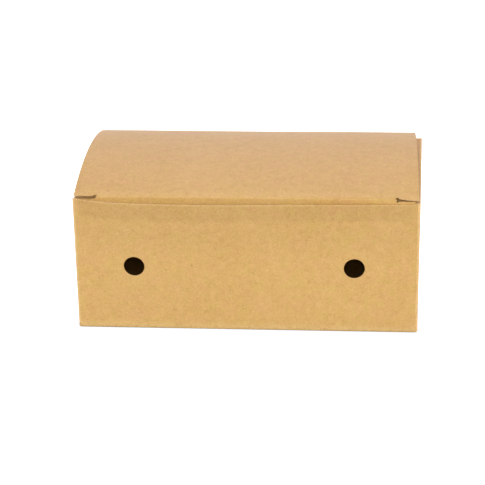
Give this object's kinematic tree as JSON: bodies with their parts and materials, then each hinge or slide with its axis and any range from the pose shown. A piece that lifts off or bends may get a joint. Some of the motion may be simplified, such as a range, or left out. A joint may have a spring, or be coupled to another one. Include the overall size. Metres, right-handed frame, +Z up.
{
  "type": "folding carton",
  "caption": "Kraft board carton with a rear-hinged arched tuck lid, side dust flaps, round front vents and a crash-lock base.",
  "frame": {"origin": "centre of the base, on the surface the carton stands on", "axes": "+X to the right seen from the front, +Y from the front wall to the back wall, +Z up"},
  "size_m": [0.2034, 0.1253, 0.0906],
  "materials": {
    "kraft_board": "matte uncoated kraft"
  },
  "bodies": {
    "carton": {"carton_body": "kraft_board"},
    "lid": {"lid": "kraft_board"}
  },
  "joints": [
    {"name": "lid_hinge", "type": "hinge", "parent": "carton", "child": "lid", "pos_m": [0, 0.05975, 0.08075], "axis": [-1, 0, 0], "range_deg": [0, 180]}
  ]
}
